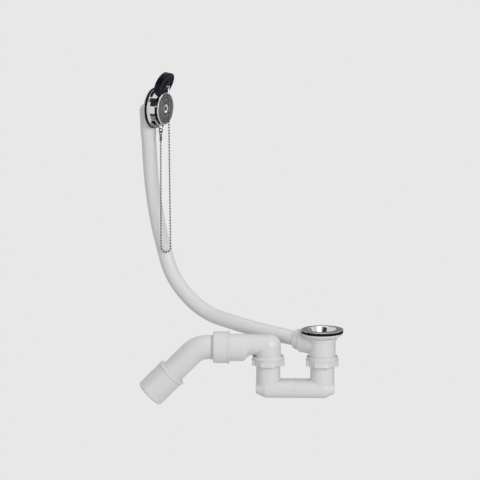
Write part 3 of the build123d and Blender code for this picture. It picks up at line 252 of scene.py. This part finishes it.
def grain_group():
    """The fine pebbled grain that a moulding takes from its steel mould."""
    tree, given, made = new_group(
        "moulded_grain",
        [("Grain Scale", "NodeSocketFloat", 1500.0)],
        [("Height", "NodeSocketFloat")],
    )
    place = tree.nodes.new("ShaderNodeTexCoord").outputs["Object"]
    fine = noise_in(tree, place, GRAIN_DETAIL)
    tree.links.new(given.outputs["Grain Scale"], fine.inputs["Scale"])
    pebbles = tree.nodes.new("ShaderNodeTexVoronoi")
    pebbles.feature = "SMOOTH_F1"
    tree.links.new(place, pebbles.inputs["Vector"])
    tree.links.new(given.outputs["Grain Scale"], pebbles.inputs["Scale"])
    both = tree.nodes.new("ShaderNodeMath")
    both.operation = "ADD"
    tree.links.new(fine.outputs["Fac"], both.inputs[0])
    tree.links.new(pebbles.outputs["Distance"], both.inputs[1])
    tree.links.new(both.outputs[0], made.inputs["Height"])
    return tree


moulded_grain = grain_group()


def moulding(name, first, second, cloud_scale, smoothest, roughest, grain_scale, depth, gloss=0.5):
    """A moulded plastic or rubber finish with drifting gloss and a fine grain."""
    material, shader = clouded_material(name, first, second, cloud_scale, smoothest, roughest)
    shader.inputs["Specular IOR Level"].default_value = gloss
    relief(material, shader, moulded_grain, GRAIN_STRENGTH, depth, grain_scale=grain_scale)
    return material


def keen_edges(edges, angle):
    """The edges at which the surface turns by more than an angle."""
    return [edge for edge in edges if edge.is_manifold and edge.calc_face_angle() > angle]


def round_edges(mesh, edges, offset):
    """Rounds edges over."""
    bmesh.ops.bevel(
        mesh,
        geom=edges,
        offset=offset,
        segments=EDGE_SEGMENTS,
        profile=0.5,
        affect="EDGES",
        material=-1,
        clamp_overlap=True,
    )


def spun(mesh, profile, place, edge=0.0):
    """Turns a closed profile of (radius, height) points round Z, rounds its edges and places it."""
    corners = [mesh.verts.new((radius, 0, height)) for radius, height in profile]
    outline = [mesh.edges.new((a, b)) for a, b in zip(corners, corners[1:] + corners[:1])]
    bmesh.ops.spin(
        mesh,
        geom=corners + outline,
        axis=(0, 0, 1),
        cent=(0, 0, 0),
        angle=2 * pi,
        steps=SPIN_STEPS,
        use_merge=True,
    )
    bmesh.ops.remove_doubles(mesh, verts=mesh.verts, dist=MERGE_DISTANCE)
    bmesh.ops.recalc_face_normals(mesh, faces=mesh.faces)
    if edge:
        round_edges(mesh, keen_edges(mesh.edges, KEEN_ANGLE), edge)
    bmesh.ops.transform(mesh, matrix=place, verts=mesh.verts)


def piece(name, mesh, slot, body, *materials, sharp=40.0):
    """Makes a shaded object from a bmesh, and lets it ride on a body."""
    data = bpy.data.meshes.new(name)
    mesh.to_mesh(data)
    mesh.free()
    for material in materials:
        data.materials.append(material)
    data.shade_smooth()
    data.set_sharp_from_angle(angle=radians(sharp))
    made = bpy.data.objects.new(name, data)
    bpy.context.scene.collection.objects.link(made)
    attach(made, body)
    return made


def rubber_ring(name, node, place, outer, bore, thickness):
    """A rubber ring with rounded edges in place of a plain CAD ring."""
    mesh = bmesh.new()
    profile = [(bore, 0), (outer, 0), (outer, thickness), (bore, thickness)]
    spun(mesh, profile, place, edge=SEAL_EDGE)
    ring = piece(name, mesh, "seal_rubber", FIXED_BODY, seal_rubber)
    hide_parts(node)


seal_rubber = moulding(
    "seal_rubber",
    SEAL_TINT,
    SEAL_BLOOM,
    cloud_scale=50,
    smoothest=0.42,
    roughest=0.60,
    grain_scale=1400,
    depth=0.00002,
    gloss=0.12,
)
for seal_name in ("waste_upper_seal", "waste_lower_seal"):
    low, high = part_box(seal_name)
    rubber_ring(
        seal_name + "_ring",
        seal_name,
        Matrix.Translation((0, 0, low.z)),
        high.y,
        SEAL_BORE,
        high.z - low.z,
    )
dress(seal_rubber, "inlet_washer", "outlet_washer", "port_cone_seal", "socket_lip_seal")

# Waste body and port nut: the white cup under the bath's floor, with a boss at its side for the pipe.
# They are injection moulded in polypropylene. The ribbed nut screws into the boss on a cone seal.
WHITE_FACE = (0.745, 0.743, 0.738, 1)
WHITE_DEEP = (0.715, 0.715, 0.708, 1)
white_plastic = moulding(
    "white_plastic",
    WHITE_FACE,
    WHITE_DEEP,
    cloud_scale=14,
    smoothest=0.34,
    roughest=0.46,
    grain_scale=1700,
    depth=0.00003,
)
dress(white_plastic, "waste_body", "port_nut")

# Union nuts: they hold the trap to the waste and to the outlet elbow, and are turned by hand by four lugs.
# Each is a plastic moulding with a plain ring on top and a shallow panel in the face of each lug.
NUT_RING = 5.0 * MM
NUT_RING_RADIUS = 26.0 * MM
NUT_WALL_RADIUS = 24.8 * MM
NUT_BORE = 23.2 * MM
NUT_LEAD_RADIUS = 24.9 * MM
NUT_LEAD_DEPTH = 2.6 * MM
NUT_SHOULDER = 2.5 * MM
NUT_NECK = 20.4 * MM
NUT_EDGE = 0.45 * MM
LUG_RADIUS = 27.2 * MM
LUG_HALF_WIDTH = 12.3 * MM
LUG_ROOT = 24.0 * MM
LUG_PANEL_BORDER = 1.7 * MM
LUG_PANEL_DEPTH = 0.55 * MM
LUG_STEPS = 10
LUG_COUNT = 4
LUG_FACE_SLACK = 0.01 * MM
LUG_KEEN_ANGLE = radians(50)
TRAP_TURN = radians(26)


def nut_lug(mesh, height, turn):
    """One broad lug: a curved block with rounded edges and a shallow panel in its outer face."""
    half = asin(LUG_HALF_WIDTH / LUG_RADIUS)
    rectangle = [(LUG_ROOT, -height), (LUG_RADIUS, -height), (LUG_RADIUS, -NUT_RING), (LUG_ROOT, -NUT_RING)]
    corners = [mesh.verts.new((radius * cos(half), -radius * sin(half), z)) for radius, z in rectangle]
    start = mesh.faces.new(corners)
    before = set(mesh.verts) - set(corners)
    bmesh.ops.spin(
        mesh,
        geom=[start],
        axis=(0, 0, 1),
        cent=(0, 0, 0),
        angle=2 * half,
        steps=LUG_STEPS,
        use_duplicate=False,
    )
    own = [vert for vert in mesh.verts if vert not in before]
    faces = list({face for vert in own for face in vert.link_faces})
    bmesh.ops.recalc_face_normals(mesh, faces=faces)
    outer = [
        face
        for face in faces
        if face.is_valid and all(vert.co.xy.length > LUG_RADIUS - LUG_FACE_SLACK for vert in face.verts)
    ]
    bmesh.ops.inset_region(mesh, faces=outer, thickness=LUG_PANEL_BORDER, use_even_offset=True)
    bmesh.ops.inset_region(mesh, faces=outer, thickness=LUG_PANEL_DEPTH, depth=-LUG_PANEL_DEPTH)
    own = [vert for vert in mesh.verts if vert not in before]
    edges = {edge for vert in own for edge in vert.link_edges}
    round_edges(mesh, keen_edges(edges, LUG_KEEN_ANGLE), NUT_EDGE)
    own = [vert for vert in mesh.verts if vert not in before]
    bmesh.ops.rotate(mesh, verts=own, cent=(0, 0, 0), matrix=Matrix.Rotation(turn, 3, "Z"))


def union_nut(name, node, body, direction):
    """A union nut at its CAD node's place, with its lugs set along the trap."""
    low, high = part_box(node)
    height = high.z - low.z
    mesh = bmesh.new()
    profile = [
        (NUT_NECK, -height),
        (NUT_WALL_RADIUS, -height),
        (NUT_WALL_RADIUS, -NUT_RING),
        (NUT_RING_RADIUS, -NUT_RING),
        (NUT_RING_RADIUS, 0),
        (NUT_LEAD_RADIUS, 0),
        (NUT_BORE, -NUT_LEAD_DEPTH),
        (NUT_BORE, NUT_SHOULDER - height),
        (NUT_NECK, NUT_SHOULDER - height),
    ]
    spun(mesh, profile, Matrix.Identity(4), edge=NUT_EDGE)
    for lug in range(LUG_COUNT):
        nut_lug(mesh, height, 2 * pi * lug / LUG_COUNT)
    middle = (low + high) / 2
    place = Matrix.Translation((middle.x, middle.y, high.z)) @ Matrix.Rotation(direction, 4, "Z")
    bmesh.ops.transform(mesh, matrix=place, verts=mesh.verts)
    nut = piece(name, mesh, "white_plastic", body, white_plastic)
    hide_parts(node)


union_nut("inlet_nut", "inlet_union_nut", FIXED_BODY, TRAP_TURN)
union_nut("outlet_nut", "outlet_union_nut", "outlet", TRAP_TURN)

# Trap, outlet elbow and outlet bend: the water seal under the waste and the way out to the drain.
# They are plastic mouldings. The bend turns in the elbow's push-fit socket on a rubber lip seal.
dress(white_plastic, "trap_bend", "outlet_elbow", "outlet_bend")

# Overflow pipe and elbow: a bent tube from the boss up to the cup behind the bath's end wall.
# Both are white plastic, the pipe a cooler white. A brass insert takes the long screw, and a rubber ring
# seals the cup to the wall.
PIPE_FACE = (0.770, 0.760, 0.775, 1)
PIPE_DEEP = (0.745, 0.738, 0.752, 1)
OVERFLOW_SEAL_BORE = 16.0 * MM
pipe_plastic = moulding(
    "pipe_plastic",
    PIPE_FACE,
    PIPE_DEEP,
    cloud_scale=14,
    smoothest=0.40,
    roughest=0.52,
    grain_scale=1700,
    depth=0.00003,
)
dress(pipe_plastic, "overflow_pipe")
dress(white_plastic, "overflow_elbow")
dress(brass, "overflow_insert")
seal_low, seal_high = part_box("overflow_seal")
wall_face = Vector((seal_high.x, (seal_low.y + seal_high.y) / 2, (seal_low.z + seal_high.z) / 2))
out_of_wall = Matrix(((0, 0, 1, 0), (1, 0, 0, 0), (0, 1, 0, 0), (0, 0, 0, 1)))
overflow_place = Matrix.Translation(wall_face) @ out_of_wall
rubber_ring(
    "overflow_seal_ring",
    "overflow_seal",
    Matrix.Translation((seal_low.x - seal_high.x, 0, 0)) @ overflow_place,
    seal_high.y,
    OVERFLOW_SEAL_BORE,
    seal_high.x - seal_low.x,
)

# Overflow rosette: a chrome flange and drum on the wall, with a cradle for the plug and a water window.
# It is pressed from sheet brass. Its rim is rolled, and a raised lip stiffens the edge of the window.
ROSETTE_RIM_RADIUS = 32.5 * MM
ROLL_RADIUS = 0.7 * MM
ROLL_SIDES = 10
WINDOW_EDGE = ((30.4 * MM, 2.0 * MM), (29.0 * MM, 3.6 * MM), (29.0 * MM, 10.9 * MM))
WINDOW_HALF_ANGLE = radians(52)
LIP_RADIUS = 0.6 * MM
LIP_STEPS = 24
ROUND_WIRE_SHARP = 80


def rod(mesh, a, b, radius, sides):
    """A round rod from one point to another."""
    bmesh.ops.create_cone(
        mesh,
        cap_ends=True,
        segments=sides,
        radius1=radius,
        radius2=radius,
        depth=(b - a).length,
        matrix=Matrix.Translation((a + b) / 2) @ (b - a).to_track_quat("Z", "Y").to_matrix().to_4x4(),
    )


dress(chrome, "overflow_rosette")
rim_mesh = bmesh.new()
rim_profile = [
    (
        ROSETTE_RIM_RADIUS + ROLL_RADIUS * cos(2 * pi * side / ROLL_SIDES),
        ROLL_RADIUS + ROLL_RADIUS * sin(2 * pi * side / ROLL_SIDES),
    )
    for side in range(ROLL_SIDES)
]
spun(rim_mesh, rim_profile, overflow_place)
piece("rosette_rolled_rim", rim_mesh, "chrome", FIXED_BODY, chrome, sharp=ROUND_WIRE_SHARP)

lip_mesh = bmesh.new()
for radius, height in (WINDOW_EDGE[0], WINDOW_EDGE[-1]):
    wire = bmesh.ops.create_circle(lip_mesh, cap_ends=True, radius=LIP_RADIUS, segments=ROLL_SIDES)["verts"]
    to_edge = Matrix.Translation((0, -radius, height)) @ Matrix.Rotation(pi / 2, 4, "Y")
    bmesh.ops.transform(lip_mesh, matrix=Matrix.Rotation(-WINDOW_HALF_ANGLE, 4, "Z") @ to_edge, verts=wire)
    bmesh.ops.spin(
        lip_mesh,
        geom=list({face for vert in wire for face in vert.link_faces}),
        axis=(0, 0, 1),
        cent=(0, 0, 0),
        angle=2 * WINDOW_HALF_ANGLE,
        steps=LIP_STEPS,
        use_duplicate=False,
    )
for side in (-1, 1):
    turn = Matrix.Rotation(side * WINDOW_HALF_ANGLE, 4, "Z")
    corners = [turn @ Vector((0, -radius, height)) for radius, height in WINDOW_EDGE]
    for a, b in zip(corners, corners[1:]):
        rod(lip_mesh, a, b, LIP_RADIUS, ROLL_SIDES)
    for corner in corners:
        bmesh.ops.create_uvsphere(
            lip_mesh,
            u_segments=ROLL_SIDES,
            v_segments=ROLL_SIDES // 2,
            radius=LIP_RADIUS,
            matrix=Matrix.Translation(corner),
        )
bmesh.ops.recalc_face_normals(lip_mesh, faces=lip_mesh.faces)
bmesh.ops.transform(lip_mesh, matrix=overflow_place, verts=lip_mesh.verts)
piece("window_lip", lip_mesh, "chrome", FIXED_BODY, chrome, sharp=ROUND_WIRE_SHARP)

# Overflow front disc and its screw: a chrome cover that stands off the drum on the long slotted screw.
# The disc is a casting, with a bright bevelled rim and plain turned rings on a satin field.
DISC_EDGE = 0.18 * MM
DISC_PROFILE = [
    (3.1, 13.9),
    (6.2, 13.9),
    (8.4, 16.3),
    (26.6, 16.3),
    (27.1, 16.8),
    (27.1, 17.3),
    (26.4, 18.3),
    (25.1, 18.8),
    (24.6, 18.3),
    (21.4, 18.3),
    (21.1, 18.45),
    (20.3, 18.45),
    (20.0, 18.3),
    (15.3, 18.3),
    (14.9, 18.6),
    (13.3, 18.6),
    (12.9, 18.3),
    (7.2, 18.3),
    (5.0, 15.1),
    (3.1, 15.1),
]
DISC_FIELD_RADIUS = 26.3 * MM
DISC_FIELD_HEIGHT = 18.0 * MM
SATIN_BRIGHT = (0.72, 0.72, 0.71, 1)
SATIN_DULL = (0.14, 0.14, 0.14, 1)
satin_chrome = metal(
    "satin_chrome",
    SATIN_BRIGHT,
    SATIN_DULL,
    cloud_scale=620,
    smoothest=0.30,
    roughest=0.46,
    stretch=(520, 520, 520),
    depth=0.00008,
)
disc_mesh = bmesh.new()
disc_profile = [(radius * MM, height * MM) for radius, height in DISC_PROFILE]
spun(disc_mesh, disc_profile, Matrix.Identity(4), edge=DISC_EDGE)
for face in disc_mesh.faces:
    middle = face.calc_center_median()
    if middle.xy.length < DISC_FIELD_RADIUS and middle.z > DISC_FIELD_HEIGHT:
        face.material_index = 1
bmesh.ops.transform(disc_mesh, matrix=overflow_place, verts=disc_mesh.verts)
front_disc = piece("front_disc", disc_mesh, "chrome", FIXED_BODY, chrome, satin_chrome)
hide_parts("overflow_front_disc")
dress(steel, "overflow_screw")

# Plug: a tapered black rubber stopper, parked in the rosette's cradle with its face forward and down.
# It is compression moulded, with soft edges, a shallow dished face and a raised ring round its staple.
PLUG_TILT = radians(23)
PLUG_FACE_OUT = 19.3 * MM
PLUG_FACE_UP = 38.9 * MM
PLUG_EDGE = 1.0 * MM
PLUG_PROFILE = [
    (0.0, -11.2),
    (19.6, -11.2),
    (22.5, 0.0),
    (18.2, 0.0),
    (17.2, -0.7),
    (7.4, -0.7),
    (6.6, 0.0),
    (0.0, 0.0),
]
PLUG_TINT = (0.003, 0.003, 0.010, 1)
PLUG_BLOOM = (0.005, 0.005, 0.014, 1)
plug_rubber = moulding(
    "plug_rubber",
    PLUG_TINT,
    PLUG_BLOOM,
    cloud_scale=45,
    smoothest=0.32,
    roughest=0.40,
    grain_scale=1100,
    depth=0.000005,
    gloss=0.1,
)
plug_place = (
    Matrix.Translation(wall_face + Vector((PLUG_FACE_OUT, 0, PLUG_FACE_UP)))
    @ Matrix.Rotation(PLUG_TILT, 4, "Y")
    @ out_of_wall
)
plug_mesh = bmesh.new()
plug_profile = [(radius * MM, height * MM) for radius, height in PLUG_PROFILE]
spun(plug_mesh, plug_profile, plug_place, edge=PLUG_EDGE)
plug_body = piece("plug_body", plug_mesh, "plug_rubber", FIXED_BODY, plug_rubber)
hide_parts("plug")

# Ball chain, hook, ring, couplings and staple: they keep the plug with the overflow.
# The beads are hollow nickel plated balls crimped on short pins. The hook, the ring and the staple are
# bent wire, and the plug's own staple and coupling are chrome plated.
BEAD_RADIUS = 1.6 * MM
BEAD_PITCH = 4.9 * MM
BEAD_SIDES = 8
BEAD_RINGS = 6
PIN_RADIUS = 0.22 * MM
PIN_SIDES = 6
LINE_STEPS = 60
CHAIN_POINTS = [
    (-303.4, -3.0, 295.075),
    (-303.778, -2.527, 121.0),
    (-303.8, -2.5, 111.035),
    (-295.2, -1.5, 106.07),
    (-286.6, -0.5, 111.035),
    (-286.73, -0.48, 121.0),
    (-289.966, 0.0, 374.953),
]
NICKEL_BRIGHT = (0.15, 0.15, 0.145, 1)
NICKEL_DULL = (0.08, 0.08, 0.078, 1)
nickel = metal(
    "nickel",
    NICKEL_BRIGHT,
    NICKEL_DULL,
    cloud_scale=220,
    smoothest=0.14,
    roughest=0.26,
    stretch=(900, 900, 900),
    depth=0.00002,
)
dress(nickel, "chain_hook", "chain_ring", "hook_coupling")
dress(chrome, "plug_coupling", "plug_staple")


def smooth_line(name, points):
    """The points that a smooth NURBS line passes through, from given control points."""
    data = bpy.data.curves.new(name, "CURVE")
    data.dimensions = "3D"
    spline = data.splines.new("NURBS")
    spline.points.add(len(points) - 1)
    for control, point in zip(spline.points, points):
        control.co = (*point, 1)
    spline.order_u = 3
    spline.use_endpoint_u = True
    spline.resolution_u = LINE_STEPS
    line = bpy.data.objects.new(name, data)
    bpy.context.scene.collection.objects.link(line)
    bpy.context.view_layer.update()
    sampled = bpy.data.meshes.new_from_object(line)
    passed = [vert.co.copy() for vert in sampled.vertices]
    bpy.data.meshes.remove(sampled)
    bpy.data.objects.remove(line)
    bpy.data.curves.remove(data)
    return passed


def places_along(line, pitch):
    """Points at an even pitch along a line."""
    total = sum((b - a).length for a, b in zip(line, line[1:]))
    count = round(total / pitch)
    step = total / count
    wanted = 0.5 * step
    passed = 0.0
    found = []
    for a, b in zip(line, line[1:]):
        run = (b - a).length
        while wanted <= passed + run and len(found) < count:
            found.append(a.lerp(b, (wanted - passed) / run))
            wanted += step
        passed += run
    return found


chain_line = smooth_line("chain_line", [Vector(point) * MM for point in CHAIN_POINTS])
bead_places = places_along(chain_line, BEAD_PITCH)
chain_mesh = bmesh.new()
befores = [chain_line[0]] + bead_places
afters = bead_places[1:] + [chain_line[-1]]
for before, bead, after in zip(befores, bead_places, afters):
    turn = (after - before).to_track_quat("Z", "Y").to_matrix().to_4x4()
    bmesh.ops.create_uvsphere(
        chain_mesh,
        u_segments=BEAD_SIDES,
        v_segments=BEAD_RINGS,
        radius=BEAD_RADIUS,
        matrix=Matrix.Translation(bead) @ turn,
    )
    rod(chain_mesh, before, bead, PIN_RADIUS, PIN_SIDES)
rod(chain_mesh, bead_places[-1], chain_line[-1], PIN_RADIUS, PIN_SIDES)
bead_chain = piece("bead_chain", chain_mesh, "nickel", FIXED_BODY, nickel, sharp=ROUND_WIRE_SHARP)
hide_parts("ball_chain")

# Studio: a pale floor well below the hung fitting, a pale surround and soft lamps, mostly from the right.
# The floor and the surround show the same light grey to the eye and to polished metal.
SURROUND_GREY = (0.807, 0.807, 0.807, 1)
SURROUND_LIGHT = (0.98, 0.98, 1.0, 1)
SURROUND_STRENGTH = 0.42
FLOOR_TINT = (0.8, 0.8, 0.79, 1)
FLOOR_ROUGHNESS = 0.9
FLOOR_DROP = 0.9
FLOOR_WIDTH = 60
WASTE = (0, 0, 0)
HEAD = tuple(wall_face)
MIDDLE = (-0.1, 0, 0.1)


def pale_surround(tree, lit_shader, plain_kind):
    """Mixes the lit shader with a plain pale light for what the eye and polished metal see."""
    paths = tree.nodes.new("ShaderNodeLightPath")
    mirrored = tree.nodes.new("ShaderNodeMath")
    mirrored.operation = "MAXIMUM"
    tree.links.new(paths.outputs["Is Glossy Ray"], mirrored.inputs[0])
    tree.links.new(paths.outputs["Is Transmission Ray"], mirrored.inputs[1])
    seen = tree.nodes.new("ShaderNodeMath")
    seen.operation = "MAXIMUM"
    tree.links.new(paths.outputs["Is Camera Ray"], seen.inputs[0])
    tree.links.new(mirrored.outputs[0], seen.inputs[1])
    plain = tree.nodes.new(plain_kind)
    plain.inputs["Color"].default_value = SURROUND_GREY
    mix = tree.nodes.new("ShaderNodeMixShader")
    tree.links.new(seen.outputs[0], mix.inputs[0])
    tree.links.new(lit_shader.outputs[0], mix.inputs[1])
    tree.links.new(plain.outputs[0], mix.inputs[2])
    return mix


world = bpy.data.worlds.new("studio")
bpy.context.scene.world = world
world.use_nodes = True
surround = world.node_tree.nodes["Background"]
surround.inputs["Color"].default_value = SURROUND_LIGHT
surround.inputs["Strength"].default_value = SURROUND_STRENGTH
surround_mix = pale_surround(world.node_tree, surround, "ShaderNodeBackground")
world.node_tree.links.new(surround_mix.outputs[0], world.node_tree.nodes["World Output"].inputs["Surface"])


def stage_plane(name, place, aim, width, height, material):
    """A flat sheet of the studio, turned to a point."""
    mesh = bmesh.new()
    bmesh.ops.create_grid(mesh, x_segments=1, y_segments=1, size=0.5)
    bmesh.ops.scale(mesh, vec=(width, height, 1), verts=mesh.verts)
    turn = (Vector(aim) - Vector(place)).to_track_quat("Z", "Y").to_matrix().to_4x4()
    bmesh.ops.transform(mesh, matrix=Matrix.Translation(place) @ turn, verts=mesh.verts)
    data = bpy.data.meshes.new(name)
    mesh.to_mesh(data)
    mesh.free()
    data.materials.append(material)
    sheet = bpy.data.objects.new(name, data)
    bpy.context.scene.collection.objects.link(sheet)
    return sheet


floor_paint = bpy.data.materials.new("studio_floor")
floor_paint.use_nodes = True
floor_shader = floor_paint.node_tree.nodes["Principled BSDF"]
floor_shader.inputs["Base Color"].default_value = FLOOR_TINT
floor_shader.inputs["Roughness"].default_value = FLOOR_ROUGHNESS
floor_mix = pale_surround(floor_paint.node_tree, floor_shader, "ShaderNodeEmission")
floor_output = floor_paint.node_tree.nodes["Material Output"]
floor_paint.node_tree.links.new(floor_mix.outputs[0], floor_output.inputs["Surface"])
floor_level = cad_box[0][2] - FLOOR_DROP
stage_plane("studio_floor", (0, 0, floor_level), (0, 0, 1), FLOOR_WIDTH, FLOOR_WIDTH, floor_paint)


def studio_card(name, place, aim, width, height, grey):
    """A grey card beside the set, which only polished surfaces see."""
    paint = bpy.data.materials.new(name)
    paint.use_nodes = True
    shader = paint.node_tree.nodes["Principled BSDF"]
    shader.inputs["Base Color"].default_value = (0, 0, 0, 1)
    shader.inputs["Specular IOR Level"].default_value = 0
    shader.inputs["Emission Color"].default_value = (grey, grey, grey, 1)
    shader.inputs["Emission Strength"].default_value = 1
    card = stage_plane(name, place, aim, width, height, paint)
    card.visible_camera = False
    card.visible_diffuse = False
    card.visible_shadow = False


studio_card("card_behind_right", (0.55, 1.45, 0.0), HEAD, 1.3, 1.3, 0.10)
studio_card("card_behind_left", (-0.80, 1.30, 0.34), WASTE, 0.9, 0.5, 0.24)
studio_card("card_high_left", (-0.872, -0.72, 1.045), HEAD, 0.8, 0.95, 0.03)
studio_card("card_low_left", (-0.95, -0.72, -0.42), HEAD, 1.2, 0.45, 0.03)
studio_card("card_below", (-0.80, -0.15, -0.51), HEAD, 1.0, 1.0, 0.24)
studio_card("card_high_right", (0.656, -0.287, 0.994), HEAD, 0.5, 0.42, 0.03)
studio_card("card_key_screen", (-0.016, -0.161, 0.438), HEAD, 0.16, 0.16, 0.75)
studio_card("card_before", (0.20, -1.37, 0.54), WASTE, 1.1, 0.46, 0.02)


def softbox(name, place, aim, width, height, power):
    """A rectangular soft lamp at a place, turned to a point."""
    data = bpy.data.lights.new(name, "AREA")
    data.shape = "RECTANGLE"
    data.size = width
    data.size_y = height
    data.energy = power
    lamp = bpy.data.objects.new(name, data)
    bpy.context.scene.collection.objects.link(lamp)
    lamp.location = place
    lamp.rotation_euler = (Vector(aim) - Vector(place)).to_track_quat("-Z", "Y").to_euler()
    lamp.visible_camera = False


softbox("key_softbox", (1.9, -1.2, 1.0), MIDDLE, 1.2, 1.2, 30)
softbox("fill_softbox", (-0.60, -2.30, 0.30), MIDDLE, 1.0, 0.9, 6)
softbox("top_softbox", (-0.1, 0.2, 2.0), MIDDLE, 1.6, 1.6, 6)

# Camera: about 8 m from the fitting, 28.5 degrees round from the front and 10.2 degrees up.
# Its long lens shows the far pieces almost as large as the near ones.
CAMERA_LENS = 363.63
CAMERA_SENSOR = 36
CAMERA_EYE = (3.6248, -6.9608, 1.5648)
CAMERA_RIGHT = (0.87882, 0.47716, 0.0)
CAMERA_UP = (-0.08450, 0.15563, 0.98420)
CAMERA_BACK = (0.46962, -0.86493, 0.17708)
camera_data = bpy.data.cameras.new("photo_camera")
camera_data.lens = CAMERA_LENS
camera_data.sensor_width = CAMERA_SENSOR
camera = bpy.data.objects.new("photo_camera", camera_data)
bpy.context.scene.collection.objects.link(camera)
camera.matrix_world = Matrix((CAMERA_RIGHT, CAMERA_UP, CAMERA_BACK)).transposed().to_4x4()
camera.location = CAMERA_EYE
bpy.context.scene.camera = camera
bpy.context.scene.view_settings.view_transform = "Standard"
